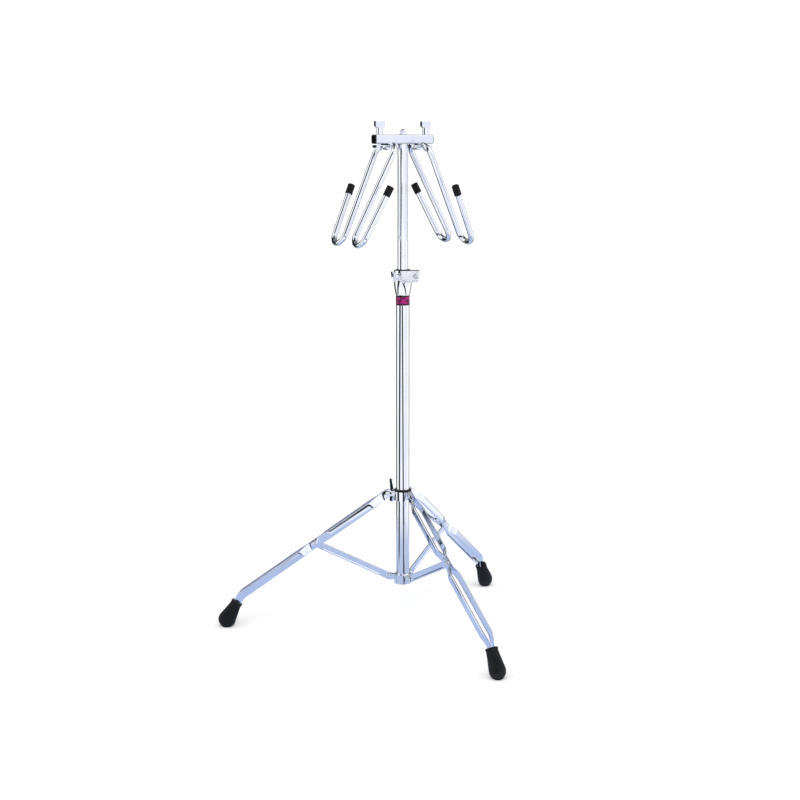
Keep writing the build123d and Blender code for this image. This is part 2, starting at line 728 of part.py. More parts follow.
# ---- cradle bar ----------------------------------------------------------------------------------
jaw_pivot_height = bar_bottom + jaw_pivot_rise
jaw_pin_radius = 2.5
tab_half = 3.7
tab_radius = 5.0
tab_clearance = 2.0
tab_slot_depth = jaw_pivot_rise + tab_radius + tab_clearance
plug_insert = 6.0
plug_rim = 1.6
plug_edge = 0.5
bar_wall = 2.5
plug_corner = 3.0
plug_hollow = 2.0
jaw_rivet_head = 4.0
jaw_rivet_head_height = 1.8
sides = {"left": -1, "right": 1}
across_bar = Plane(origin=(0, 0, 0), x_dir=(1, 0, 0), z_dir=(0, -1, 0))
with BuildPart() as cradle_bar:
    with BuildSketch(Plane(origin=(-bar_length / 2, 0, bar_middle), x_dir=(0, 1, 0), z_dir=(1, 0, 0))):
        RectangleRounded(bar_depth, bar_height, bar_corner)
    extrude(amount=bar_length)
    with BuildSketch(Plane.XY.offset(bar_bottom)):
        Circle(bolt_radius + running_clearance)
    extrude(amount=bar_height, mode=Mode.SUBTRACT)
    for side in sides.values():
        with BuildSketch(across_bar):
            with Locations((side * run_offset, run_height)):
                Circle(rod_radius + face_gap)
        extrude(amount=bar_depth, both=True, mode=Mode.SUBTRACT)
        with BuildSketch(across_bar):
            with Locations((side * jaw_pivot_offset, bar_bottom)):
                Rectangle(2 * (tab_radius + tab_clearance), 2 * tab_slot_depth)
        extrude(amount=tab_half + face_gap, both=True, mode=Mode.SUBTRACT)
        with BuildSketch(across_bar):
            with Locations((side * jaw_pivot_offset, jaw_pivot_height)):
                Circle(jaw_pin_radius)
        extrude(amount=bar_depth, both=True, mode=Mode.SUBTRACT)
        with BuildSketch(Plane.XY.offset(bar_bottom)):
            with Locations((side * t_bolt_offset, 0)):
                Circle(t_bolt_radius + face_gap)
        extrude(amount=bar_height, mode=Mode.SUBTRACT)
        end_plane = Plane(origin=(side * bar_length / 2, 0, bar_middle), x_dir=(0, 1, 0), z_dir=(-side, 0, 0))
        with BuildSketch(end_plane):
            RectangleRounded(bar_depth - 2 * bar_wall, bar_height - 2 * bar_wall, plug_corner)
        extrude(amount=plug_insert, mode=Mode.SUBTRACT)
cradle_bar.part.label = "cradle_bar"
export_step(cradle_bar.part, "parts/cradle_bar.step")

with BuildPart() as bar_end_plugs:
    for side in sides.values():
        end_plane = Plane(origin=(side * bar_length / 2, 0, bar_middle), x_dir=(0, 1, 0), z_dir=(side, 0, 0))
        with BuildSketch(end_plane.offset(-plug_insert)):
            RectangleRounded(bar_depth - 2 * bar_wall, bar_height - 2 * bar_wall, plug_corner)
        extrude(amount=plug_insert)
        with BuildSketch(end_plane):
            RectangleRounded(bar_depth - 2 * plug_edge, bar_height - 2 * plug_edge, bar_corner + plug_edge)
        extrude(amount=plug_rim)
        with BuildSketch(end_plane.offset(plug_rim)):
            RectangleRounded(bar_depth - 3.6 * bar_wall, bar_height - 3.6 * bar_wall, plug_corner)
        extrude(amount=-plug_rim - plug_hollow, mode=Mode.SUBTRACT)
bar_end_plugs.part.label = "bar_end_plugs"
export_step(bar_end_plugs.part, "parts/bar_end_plugs.step")

with BuildPart() as jaw_rivets:
    for side in sides.values():
        middle = Plane(origin=(side * jaw_pivot_offset, 0, jaw_pivot_height), x_dir=(1, 0, 0), z_dir=(0, -1, 0))
        with BuildSketch(middle):
            Circle(jaw_pin_radius)
        extrude(amount=bar_depth / 2, both=True)
        for face in (1, -1):
            with BuildSketch(middle.offset(face * bar_depth / 2)):
                Circle(jaw_rivet_head)
            extrude(amount=face * jaw_rivet_head_height, taper=30)
jaw_rivets.part.label = "jaw_rivets"
export_step(jaw_rivets.part, "parts/jaw_rivets.step")

# ---- jaws, T-bolts, arms and rubber tips ---------------------------------------------------------
jaw_top = bar_bottom - jaw_gap
jaw_inset = 1.0
jaw_end_margin = 12.0
jaw_half_depth = bar_depth / 2 - jaw_inset
jaw_start = jaw_pivot_offset - tab_radius
jaw_end = t_bolt_offset + jaw_end_margin
t_hub_radius = 7.5
t_hub_height = 14.4
t_span = 22.0
t_height = 13.0
t_thickness = 8.6
t_shoulder = 4.0
bolt_end = 3.0
tip_cap = 2.5
tip_round = 1.6
bend_slack = 0.8
for side_name, side in sides.items():
    with BuildPart() as jaw:
        with BuildSketch(across_bar):
            with Locations((side * (jaw_start + jaw_end) / 2, jaw_top - jaw_thickness / 2)):
                Rectangle(jaw_end - jaw_start, jaw_thickness)
            with Locations((side * run_offset, run_height)):
                Circle(rod_radius + face_gap + jaw_wall)
            with Locations((side * run_offset, jaw_top + rod_diameter)):
                Rectangle(rod_diameter * 3, rod_diameter * 2, mode=Mode.SUBTRACT)
        extrude(amount=jaw_half_depth, both=True)
        with BuildSketch(across_bar):
            with Locations((side * jaw_pivot_offset, jaw_pivot_height)):
                Circle(tab_radius)
            with Locations((side * jaw_pivot_offset, (jaw_pivot_height + jaw_top) / 2 - 1.0)):
                Rectangle(2 * tab_radius, jaw_pivot_height - jaw_top + 2.0)
        extrude(amount=tab_half, both=True)
        with BuildSketch(across_bar):
            with Locations((side * run_offset, run_height)):
                Circle(rod_radius + face_gap)
            with Locations((side * jaw_pivot_offset, jaw_pivot_height)):
                Circle(jaw_pin_radius + running_clearance)
        extrude(amount=bar_depth, both=True, mode=Mode.SUBTRACT)
        with BuildSketch(Plane.XY.offset(jaw_top - 2 * jaw_thickness)):
            with Locations((side * t_bolt_offset, 0)):
                Circle(t_bolt_radius + nut_clearance)
        extrude(amount=3 * jaw_thickness, mode=Mode.SUBTRACT)
    jaw.part.label = f"jaw_{side_name}"
    export_step(jaw.part, f"parts/jaw_{side_name}.step")

    with BuildPart() as jaw_nut:
        with BuildSketch(Plane.XY.offset(jaw_top - jaw_thickness)):
            with Locations((side * t_bolt_offset, 0)):
                RegularPolygon(nut_radius, 6)
                Circle(t_bolt_radius + nut_clearance, mode=Mode.SUBTRACT)
        extrude(amount=-nut_height)
    jaw_nut.part.label = f"jaw_nut_{side_name}"
    export_step(jaw_nut.part, f"parts/jaw_nut_{side_name}.step")

    with BuildPart() as t_bolt:
        shank_bottom = jaw_top - jaw_thickness - nut_height - bolt_end
        with BuildSketch(Plane.XY.offset(shank_bottom)):
            with Locations((side * t_bolt_offset, 0)):
                Circle(t_bolt_radius)
        extrude(amount=bar_top + 1.0 - shank_bottom)
        with BuildSketch(Plane.XY.offset(bar_top + head_clearance)):
            with Locations((side * t_bolt_offset, 0)):
                Circle(t_hub_radius)
        extrude(amount=t_hub_height)
        t_base = bar_top + t_hub_height - 1.0
        t_top = bar_top + t_hub_height + t_height
        with BuildSketch(Plane(origin=(side * t_bolt_offset, 0, 0), x_dir=(1, 0, 0), z_dir=(0, -1, 0))):
            with BuildLine():
                Polyline(
                    (-t_hub_radius * 0.8, t_base),
                    (t_hub_radius * 0.8, t_base),
                    (t_span / 2, t_base + t_shoulder),
                    (t_span / 2, t_top),
                    (-t_span / 2, t_top),
                    (-t_span / 2, t_base + t_shoulder),
                    close=True,
                )
            make_face()
        extrude(amount=t_thickness / 2, both=True)
    t_bolt.part.label = f"t_bolt_{side_name}"
    export_step(t_bolt.part, f"parts/t_bolt_{side_name}.step")

    corners = []
    tips = []
    for end in (-1, 1):
        corner = Vector(side * run_offset, end * run_half_length, run_height)
        leg = Vector(side * arm_spread, -end * arm_pull_in, -arm_drop)
        fall = leg.normalized()
        across = Vector(0, end, 0)
        spread = (across - fall * across.dot(fall)).normalized()
        hook_inner = corner + leg
        hook_outer = hook_inner + spread * hook_spacing
        flare = radians(hook_flare)
        rise = spread * sin(flare) - fall * cos(flare)
        tips.append((hook_outer + rise * hook_length, rise))
        corners.append([corner, hook_inner, hook_outer, hook_outer + rise * hook_length])
    points = corners[0][::-1] + corners[1]
    hook_radius = hook_spacing / 2 - bend_slack
    radii = [hook_radius, hook_radius, arm_corner_radius, arm_corner_radius, hook_radius, hook_radius]
    with BuildPart() as arm:
        with BuildLine():
            path = FilletPolyline(*points, radius=radii)
        with BuildSketch(Plane(origin=path @ 0, z_dir=path % 0)):
            Circle(rod_radius)
        sweep(path=path)
    arm.part.label = f"arm_{side_name}"
    export_step(arm.part, f"parts/arm_{side_name}.step")

    for tip_name, (tip_point, tip_direction) in zip(("front", "back"), tips):
        mouth = Plane(origin=tip_point - tip_direction * (tip_length - tip_cap), z_dir=tip_direction)
        with BuildPart() as tip:
            with BuildSketch(mouth):
                Circle(tip_diameter / 2)
            extrude(amount=tip_length)
            fillet(tip.edges().group_by(Axis.Z)[-1], tip_round)
            with BuildSketch(mouth):
                Circle(rod_radius)
            extrude(amount=tip_length - tip_cap, mode=Mode.SUBTRACT)
        tip.part.label = f"tip_{side_name}_{tip_name}"
        export_step(tip.part, f"parts/tip_{side_name}_{tip_name}.step")

# ---- fold of the tripod --------------------------------------------------------------------------
brace_angle = degrees(asin((waist_radius - hub_pivot_radius) / brace_length))
folded_reach = collar_pivot_radius - hub_pivot_radius + waist_distance * sin(radians(folded_leg_angle))
folded_brace_angle = degrees(asin(folded_reach / brace_length))
folded_collar = (
    hub_pivot_height
    + brace_length * cos(radians(folded_brace_angle))
    + waist_distance * cos(radians(folded_leg_angle))
)
collar_travel = folded_collar - collar_pivot_height
print("collar pivot", collar_pivot_radius, round(collar_pivot_height, 3), "travel", round(collar_travel, 3))
print("leg fold", leg_angle - folded_leg_angle, "brace fold", round(brace_angle - folded_brace_angle, 3))
print("hub pivot", hub_pivot_radius, hub_pivot_height, "brace length", round(brace_length, 3))
print("run", run_offset, round(run_height, 3), "jaw pivot", jaw_pivot_offset, jaw_pivot_height)
print("clamp", clamp_bottom, clamp_middle, clamp_top, "band", band_bottom, "wing", round(wing_height, 3))
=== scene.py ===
import json
import math

import bpy
import bmesh
import numpy as np
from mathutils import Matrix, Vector

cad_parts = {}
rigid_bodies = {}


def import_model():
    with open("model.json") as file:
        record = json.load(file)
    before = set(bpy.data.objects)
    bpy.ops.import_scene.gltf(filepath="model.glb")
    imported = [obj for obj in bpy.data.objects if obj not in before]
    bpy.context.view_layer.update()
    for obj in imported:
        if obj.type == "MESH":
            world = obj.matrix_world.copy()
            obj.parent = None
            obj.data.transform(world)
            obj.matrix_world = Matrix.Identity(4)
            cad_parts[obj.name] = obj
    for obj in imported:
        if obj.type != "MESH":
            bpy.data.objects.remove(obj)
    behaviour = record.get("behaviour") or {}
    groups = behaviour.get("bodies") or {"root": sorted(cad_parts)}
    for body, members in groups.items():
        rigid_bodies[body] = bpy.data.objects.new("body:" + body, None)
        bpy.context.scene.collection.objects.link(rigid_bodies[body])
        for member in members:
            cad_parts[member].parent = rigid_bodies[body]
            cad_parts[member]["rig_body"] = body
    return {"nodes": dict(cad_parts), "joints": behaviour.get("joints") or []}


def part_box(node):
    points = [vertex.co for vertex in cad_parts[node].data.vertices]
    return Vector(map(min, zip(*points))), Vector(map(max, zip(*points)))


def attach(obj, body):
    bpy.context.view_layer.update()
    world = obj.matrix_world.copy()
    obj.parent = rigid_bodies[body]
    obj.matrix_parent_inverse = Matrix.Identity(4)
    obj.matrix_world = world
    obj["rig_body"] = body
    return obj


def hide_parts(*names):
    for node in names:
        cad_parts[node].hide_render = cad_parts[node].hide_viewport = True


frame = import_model()
nodes = frame["nodes"]
joints = {j["name"]: j for j in frame["joints"]}
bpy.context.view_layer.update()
print("frame loaded:", len(nodes), "nodes")

mm = 0.001
legAzimuths = {"left": 150.0, "front": 270.0, "back": 30.0}


# Small geometry helpers

def outward(azimuth):
    a = math.radians(azimuth)
    return np.array([math.cos(a), math.sin(a), 0.0])


def sideways(azimuth):
    a = math.radians(azimuth)
    return np.array([math.sin(a), -math.cos(a), 0.0])


def unit(v):
    v = np.asarray(v, float)
    return v / np.linalg.norm(v, axis=-1, keepdims=True)


def smoothStep(x):
    x = np.clip(x, 0, 1)
    return x * x * (3 - 2 * x)


# a line of corners in a plane; a corner with a radius becomes an arc between its tangent points
def roundedLine(corners, steps=6):
    corners = [(np.array(c[:2], float), c[2] if len(c) > 2 else 0.0) for c in corners]
    out = []
    for i, (p, r) in enumerate(corners):
        if r <= 0 or i in (0, len(corners) - 1):
            out.append(p[None])
            continue
        a, b = unit(corners[i - 1][0] - p), unit(corners[i + 1][0] - p)
        half = math.acos(float(np.clip(a @ b, -1, 1))) / 2
        reach = r / math.tan(half)
        centre = p + unit(a + b) * (r / math.sin(half))
        start, end = p + a * reach - centre, p + b * reach - centre
        total = math.atan2(start[0] * end[1] - start[1] * end[0], start @ end)
        t = np.linspace(0, total, steps + 1)[:, None]
        turn = np.concatenate([start[0] * np.cos(t) - start[1] * np.sin(t),
                               start[0] * np.sin(t) + start[1] * np.cos(t)], 1)
        out.append(centre + turn)
    return np.concatenate(out)


# evenly spaced stations along a polyline, no more than step apart, keeping its corners
def resample(line, step):
    line = np.asarray(line, float)
    parts = [np.linspace(a, b, max(2, int(np.linalg.norm(b - a) / step) + 1), endpoint=False)
             for a, b in zip(line[:-1], line[1:])]
    return np.concatenate(parts + [line[-1:]])


# quads of a grid of points, open along the first direction and closed round the second; points that
# coincide are welded and the faces are wound so that the enclosed volume is positive
def gridMesh(name, grid):
    n, m = grid.shape[:2]
    a, b = np.meshgrid(np.arange(n - 1), np.arange(m), indexing="ij")
    after = (b + 1) % m
    quads = np.stack([a * m + b, (a + 1) * m + b, (a + 1) * m + after, a * m + after], -1).reshape(-1, 4)
    points = grid.reshape(-1, 3)
    keys, first, inverse = np.unique(np.round(points, 7), axis=0, return_index=True, return_inverse=True)
    points = points[first]
    quads = inverse.reshape(-1)[quads]
    same = np.stack([quads[:, i] == quads[:, (i + 1) % 4] for i in range(4)], 1)
    whole = quads[~same.any(1)]
    one = same.sum(1) == 1
    place = same[one].argmax(1)
    index = (place[:, None] + np.array([1, 2, 3])) % 4
    tris = np.take_along_axis(quads[one], index, 1)
    fan = np.concatenate([whole[:, [0, 1, 2]], whole[:, [0, 2, 3]], tris])
    volume = np.einsum("ij,ij->", points[fan[:, 0]], np.cross(points[fan[:, 1]], points[fan[:, 2]]))
    if volume < 0:
        whole, tris = whole[:, ::-1], tris[:, ::-1]
    mesh = bpy.data.meshes.new(name)
    mesh.from_pydata(points.tolist(), [], whole.tolist() + tris.tolist())
    mesh.update()
    mesh.shade_smooth()
    made = bpy.data.objects.new(name, mesh)
    bpy.context.scene.collection.objects.link(made)
    return made


# surface of revolution: radius and height of the profile, carried round the axis
def lathe(name, profile, origin=(0, 0, 0), axis=(0, 0, 1), segments=96):
    profile = np.asarray(profile, float) * mm
    axis = unit(axis)
    side = unit(np.cross(axis, [0, 0, 1]) if abs(axis[2]) < 0.9 else np.cross(axis, [0, 1, 0]))
    other = np.cross(axis, side)
    t = np.linspace(0, 2 * np.pi, segments, endpoint=False)
    ring = np.cos(t)[:, None] * side + np.sin(t)[:, None] * other
    grid = profile[:, None, 0:1] * ring[None] + profile[:, None, 1:2] * axis
    return gridMesh(name, grid + np.asarray(origin, float) * mm)


# directions carried along a path without twist: along it, and two across it
def carried(path, start):
    tangent = unit(np.gradient(path, axis=0))
    normals = [unit(start - tangent[0] * (start @ tangent[0]))]
    for t in tangent[1:]:
        last = normals[-1]
        normals.append(unit(last - t * (last @ t)))
    normals = np.array(normals)
    return tangent, normals, np.cross(tangent, normals)


# round rod along a path of points, its ends domed by shrinking the last rings on a quarter circle
def rod(name, path, radius, start, dome, segments=40, domeRings=6):
    tangent, normal, other = carried(path, start)
    a = np.linspace(0, np.pi / 2, domeRings + 1)[1:]
    ringsEnd = path[-1] + tangent[-1] * (np.sin(a) * dome)[:, None]
    ringsStart = (path[0] - tangent[0] * (np.sin(a) * dome)[:, None])[::-1]
    shrunk = radius - dome * (1 - np.cos(a))
    centre = np.concatenate([ringsStart[:1], ringsStart, path, ringsEnd, ringsEnd[-1:]])
    size = np.concatenate([[0], shrunk[::-1], np.full(len(path), radius), shrunk, [0]])
    held = np.pad(np.arange(len(path)), domeRings + 1, mode="edge")
    t = np.linspace(0, 2 * np.pi, segments, endpoint=False)
    ring = np.cos(t)[None, :, None] * normal[held][:, None] + np.sin(t)[None, :, None] * other[held][:, None]
    return gridMesh(name, centre[:, None] + ring * size[:, None, None])


# a polyline with tangent arcs at its corners, as points in space
def roundedPath(corners, radii, step=0.004, turnStep=math.radians(6)):
    corners = np.asarray(corners, float)
    out = [corners[:1]]
    for p, q, s, r in zip(corners[:-2], corners[1:-1], corners[2:], radii):
        a, b = unit(p - q), unit(s - q)
        half = math.acos(float(np.clip(a @ b, -1, 1))) / 2
        centre = q + unit(a + b) * (r / math.sin(half))
        start = q + a * (r / math.tan(half)) - centre
        end = q + b * (r / math.tan(half)) - centre
        turn = math.pi - 2 * half
        count = max(3, int(turn / turnStep) + 1)
        t = np.linspace(0, 1, count + 1)[:, None]
        out.append(centre + (np.sin((1 - t) * turn) * start + np.sin(t * turn) * end) / math.sin(turn))
    out.append(corners[-1:])
    return resample(np.concatenate(out), step)


# a CAD solid with its loose triangles merged, flat faces joined and its edges rounded
def softened(node, width, segments):
    sharpAngle, flatAngle, weld = math.radians(28), math.radians(0.6), 0.002 * mm
    mesh = nodes[node].data.copy()
    work = bmesh.new()
    work.from_mesh(mesh)
    bmesh.ops.remove_doubles(work, verts=work.verts, dist=weld)
    bmesh.ops.dissolve_limit(work, angle_limit=flatAngle, verts=work.verts, edges=work.edges)
    work.to_mesh(mesh)
    work.free()
    mesh.materials.clear()
    mesh.shade_smooth()
    mesh.set_sharp_from_angle(angle=sharpAngle)
    made = bpy.data.objects.new(node + "_finished", mesh)
    bpy.context.scene.collection.objects.link(made)
    bevel = made.modifiers.new("edges", "BEVEL")
    bevel.width = width * mm
    bevel.segments = segments
    bevel.limit_method = "ANGLE"
    bevel.angle_limit = sharpAngle
    bevel.harden_normals = True
    bevel.use_clamp_overlap = True
    return finished(made, node)


# puts a new piece on the body of a CAD node and in its place
def finished(piece, node, material=None):
    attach(piece, nodes[node]["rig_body"])
    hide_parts(node)
    if material:
        paint(piece, material)
    return piece


def paint(piece, material):
    piece.data.materials.clear()
    piece.data.materials.append(materials[material])


def jointPlace(name):
    return np.array(joints[name]["pos_m"], float)


def boxOf(node):
    low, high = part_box(node)
    return np.array(low), np.array(high)


# Shader writing

class Sock:
    def __init__(self, shader, socket):
        self.shader, self.socket = shader, socket

    def math(self, operation, *others):
        return self.shader.math(operation, self, *others)

    def __add__(self, other):
        return self.math("ADD", other)

    def __radd__(self, other):
        return self.shader.math("ADD", other, self)

    def __sub__(self, other):
        return self.math("SUBTRACT", other)

    def __rsub__(self, other):
        return self.shader.math("SUBTRACT", other, self)

    def __mul__(self, other):
        return self.math("MULTIPLY", other)

    def __rmul__(self, other):
        return self.shader.math("MULTIPLY", other, self)


class Made:
    def __init__(self, shader, node):
        self.shader, self.node = shader, node

    def __getitem__(self, key):
        return Sock(self.shader, self.node.outputs[key])


class Shader:
    def __init__(self, tree):
        self.tree = tree
        self.nodes, self.links = tree.nodes, tree.links
        self.nodes.clear()

    def node(self, kind, settings=None, inputs=()):
        made = self.nodes.new(kind)
        for key, value in (settings or {}).items():
            setattr(made, key, value)
        pairs = inputs.items() if isinstance(inputs, dict) else enumerate(inputs)
        for key, value in pairs:
            if isinstance(value, Sock):
                self.links.new(value.socket, made.inputs[key])
            else:
                made.inputs[key].default_value = value
        return Made(self, made)

    def math(self, operation, *values):
        return self.node("ShaderNodeMath", {"operation": operation}, values)[0]

    def mixColour(self, factor, a, b):
        a = a if isinstance(a, Sock) else (*a, 1)
        b = b if isinstance(b, Sock) else (*b, 1)
        return self.node("ShaderNodeMix", {"data_type": "RGBA"}, {0: factor, 6: a, 7: b})[2]

    def vector(self, operation, *values):
        return self.node("ShaderNodeVectorMath", {"operation": operation}, values)

    # 0 below low, 1 above high, smooth between
    def step(self, value, low, high):
        return self.node("ShaderNodeMapRange", {"interpolation_type": "SMOOTHSTEP", "clamp": True},
                         {0: value, 1: low, 2: high, 3: 0.0, 4: 1.0})[0]

    # 1 inside a band centred at place, falling over soft at its edges
    def band(self, value, place, half, soft):
        return 1 - self.step(self.math("ABSOLUTE", value - place), half - soft, half + soft)

    def noise(self, vector, scale, detail=3.0, rough=0.55):
        return self.node("ShaderNodeTexNoise", {},
                         {"Vector": vector, "Scale": scale, "Detail": detail, "Roughness": rough})["Fac"]

    def bump(self, height, distance, strength):
        return self.node("ShaderNodeBump", {},
                         {"Height": height, "Distance": distance, "Strength": strength})[0]

    def position(self):
        return self.node("ShaderNodeTexCoord")["Object"]


materials = {}


def newMaterial(name):
    material = bpy.data.materials.new(name)
    material.use_nodes = True
    shader = Shader(material.node_tree)
    materials[name] = material
    return shader


def closeMaterial(shader, inputs):
    body = shader.node("ShaderNodeBsdfPrincipled", {}, inputs)
    shader.node("ShaderNodeOutputMaterial", {}, {0: body[0]})


# Plated steel: the base colour drifts with slow noise between two tints, roughness is a low floor plus
# smudges (soft noise in patches) and hair scratches (noise stretched along the grain axis), and the
# height is a faint orange peel plus the scratches.
def chrome(name, tint, shade, peel, peelScale, floor=0.035, smudge=0.09, grain=(1, 1, 1), scratch=0.5):
    s = newMaterial(name)
    p = s.position()
    stretched = s.vector("MULTIPLY", p, grain)[0]
    drift = s.noise(p, 9.0, 2.0)
    handled = s.noise(p, 22.0, 4.0, 0.6)
    smears = s.step(handled, 0.52, 0.72)
    hair = s.noise(stretched, 900.0, 2.0, 0.7)
    fine = s.step(hair, 0.60, 0.72)
    speck = s.step(s.noise(p, 480.0, 1.0), 0.70, 0.76)
    colour = s.mixColour(s.step(drift, 0.35, 0.65), tint, shade)
    colour = s.mixColour(speck * 0.35, colour, (0.42, 0.43, 0.45))
    rough = floor + smears * smudge + fine * (0.06 * scratch) + speck * 0.18
    height = s.noise(p, peelScale, 2.0) + fine * (0.35 * scratch)
    closeMaterial(s, {"Base Color": colour, "Metallic": 1.0, "Roughness": rough,
                      "Normal": s.bump(height, peel, 0.5)})


chrome("tubeChrome", (0.86, 0.875, 0.90), (0.80, 0.82, 0.865), peel=0.000006, peelScale=60,
       grain=(1, 1, 0.03), scratch=0.4)
chrome("rodChrome", (0.86, 0.88, 0.91), (0.79, 0.82, 0.87), peel=0.000006, peelScale=90,
       grain=(1, 1, 0.1))
chrome("strapChrome", (0.83, 0.855, 0.92), (0.76, 0.80, 0.89), peel=0.00002, peelScale=75,
       floor=0.05, smudge=0.12)
chrome("castChrome", (0.85, 0.865, 0.89), (0.78, 0.80, 0.84), peel=0.00003, peelScale=140,
       floor=0.05, smudge=0.1)
chrome("boltChrome", (0.80, 0.81, 0.83), (0.70, 0.72, 0.75), peel=0.00002, peelScale=300,
       floor=0.12, smudge=0.14, grain=(1, 1, 0.2))


# Rubber: near black, lighter where dust sits low down; fine grain and slow dents in the height.
def rubber(name, dark, dust, dustTop, grainDepth):
    s = newMaterial(name)
    p = s.position()
    height = s.node("ShaderNodeSeparateXYZ", {}, (p,))["Z"]
    low = 1 - s.step(height, 0.0, dustTop)
    cloud = s.step(s.noise(p, 60.0, 5.0, 0.65), 0.42, 0.7)
    scuff = s.step(s.noise(s.vector("MULTIPLY", p, (1, 1, 3))[0], 130.0, 4.0, 0.7), 0.56, 0.68)
    colour = s.mixColour(low * cloud * 0.8 + cloud * 0.12, dark, dust)
    colour = s.mixColour(scuff * 0.2, colour, (0.03, 0.03, 0.032))
    rough = 0.42 + cloud * 0.22 + low * 0.12
    grain = s.noise(p, 1400.0, 2.0) + s.noise(p, 180.0, 3.0) * 0.6
    closeMaterial(s, {"Base Color": colour, "Roughness": rough, "Specular IOR Level": 0.18,
                      "Normal": s.bump(grain, grainDepth, 0.7)})


rubber("footRubber", (0.004, 0.005, 0.0055), (0.03, 0.03, 0.03), 0.03, 0.00012)
rubber("tipRubber", (0.004, 0.0045, 0.005), (0.02, 0.02, 0.021), 0.0001, 0.00008)
rubber("blackNylon", (0.004, 0.0045, 0.005), (0.02, 0.02, 0.021), 0.0001, 0.00003)


# Band: crimson foil between two black borders, both by height, with a diamond weave pressed in it.
def bandFoil(low, high):
    s = newMaterial("bandFoil")
    p = s.position()
    parts = s.node("ShaderNodeSeparateXYZ", {}, (p,))
    z = parts["Z"]
    angle = s.math("ARCTAN2", parts["Y"], parts["X"])
    border, soft = 0.0034, 0.00034
    aboveLow = s.step(z, low + border - soft, low + border + soft)
    aboveHigh = s.step(z, high - border - soft, high - border + soft)
    edge = 1 - aboveLow * (1 - aboveHigh)
    around, upward = angle * 40.0, z * 2600.0
    weave = s.math("SINE", around + upward) * s.math("SINE", around - upward)
    mottle = s.noise(s.vector("MULTIPLY", p, (1, 1, 1.6))[0], 130.0, 4.0, 0.6)
    colour = s.mixColour(s.step(mottle, 0.38, 0.62), (0.10, 0.002, 0.045), (0.42, 0.012, 0.19))
    colour = s.mixColour(edge, colour, (0.006, 0.002, 0.005))
    closeMaterial(s, {"Base Color": colour, "Roughness": 0.2 + mottle * 0.16, "Metallic": 0.5 * (1 - edge),
                      "Coat Weight": 0.25, "Coat Roughness": 0.1, "Specular IOR Level": 0.25,
                      "Normal": s.bump(weave * (1 - edge), 0.00005, 0.6)})


bandLow, bandHigh = boxOf("colour_band")
bandFoil(float(bandLow[2]), float(bandHigh[2]))
print("materials made:", len(materials))


# Tubes and band

tubeForm = {"lowerWall": 1.5, "upperWall": 1.5, "lip": 0.5, "bandEdge": 0.12}


def tube(name, node, outer, inner, material):
    low, high = boxOf(node)
    z0, z1, lip = low[2] / mm, high[2] / mm, tubeForm["lip"]
    middle = (inner + outer) / 2
    line = roundedLine([(middle, z0), (outer, z0, lip), (outer, z1, lip), (inner, z1, lip), (inner, z0, lip),
                        (middle, z0)], 4)
    piece = lathe(name, resample(line, 12.0))
    return finished(piece, node, material=material)


lowRadius = float(boxOf("lower_tube")[1][0]) / mm
upRadius = float(boxOf("upper_tube")[1][0]) / mm
tube("lowerTube", "lower_tube", lowRadius, lowRadius - tubeForm["lowerWall"], "tubeChrome")
tube("upperTube", "upper_tube", upRadius, upRadius - tubeForm["upperWall"], "tubeChrome")

bandZ0, bandZ1 = bandLow[2] / mm, bandHigh[2] / mm
bandRadius = float(bandHigh[0]) / mm
bandEdge = tubeForm["bandEdge"]
bandLine = roundedLine([(lowRadius, bandZ0), (bandRadius, bandZ0, bandEdge), (bandRadius, bandZ1, bandEdge),
                        (lowRadius, bandZ1)], 3)
finished(lathe("colourBand", bandLine), "colour_band", material="bandFoil")
print("tubes made")

# Legs

legForm = {
    "slope": 35.5, "footSlope": 60.0, "length": 395.2, "insert": 50.0, "footBend": 24.0,
    "width": 17.5, "wall": 1.6, "farRound": 4.0,
    "gap": 2.3, "spread": 10.5, "footGap": 3.0, "ease": 4.5,
    "pivotClosed": 16.0, "pivotSpread": 42.0, "footSpread": -13.0, "footClosed": 11.0,
    "waist": 193.5, "waistHalf": 15.5, "waistRun": 19.0,
    "flatUntil": 2.6, "flange": 0.5, "corner": 2.2, "flatCorner": 0.75, "leastCorner": 0.15, "lipRound": 0.35,
}


# Half gap between the straps at each distance down the leg: closed at the pivot, the waist and the foot,
# spread between them, straight from one to the next and eased at the corners by a running mean.
def halfGap(u):
    f = legForm
    closed, spread, waist = f["gap"], f["spread"], f["waist"]
    inner, outer = f["waistHalf"], f["waistHalf"] + f["waistRun"]
    waves = [(f["pivotClosed"], closed), (f["pivotSpread"], spread),
             (waist - outer, spread), (waist - inner, closed), (waist + inner, closed), (waist + outer, spread),
             (f["length"] + f["footSpread"], spread), (f["length"] + f["footClosed"], f["footGap"])]
    places, values = np.array(waves, float).T
    offsets = np.linspace(-f["ease"], f["ease"], 13)
    return np.mean([np.interp(u + o, places, values) for o in offsets], 0)


# the pivot of a leg, and the directions down the leg, sideways and square to both
def legFrame(legName):
    azimuth, slope = legAzimuths[legName], math.radians(legForm["slope"])
    along = outward(azimuth) * math.cos(slope) - np.array([0, 0, math.sin(slope)])
    side = sideways(azimuth)
    return jointPlace(f"leg_{legName}_fold"), along, side, np.cross(side, along)


# a row of sections closed at both ends on the middle of the end section
def capped(grid):
    start, end = (np.repeat(grid[i].mean(0)[None], grid.shape[1], 0)[None] for i in (0, -1))
    return np.concatenate([start, grid, end])


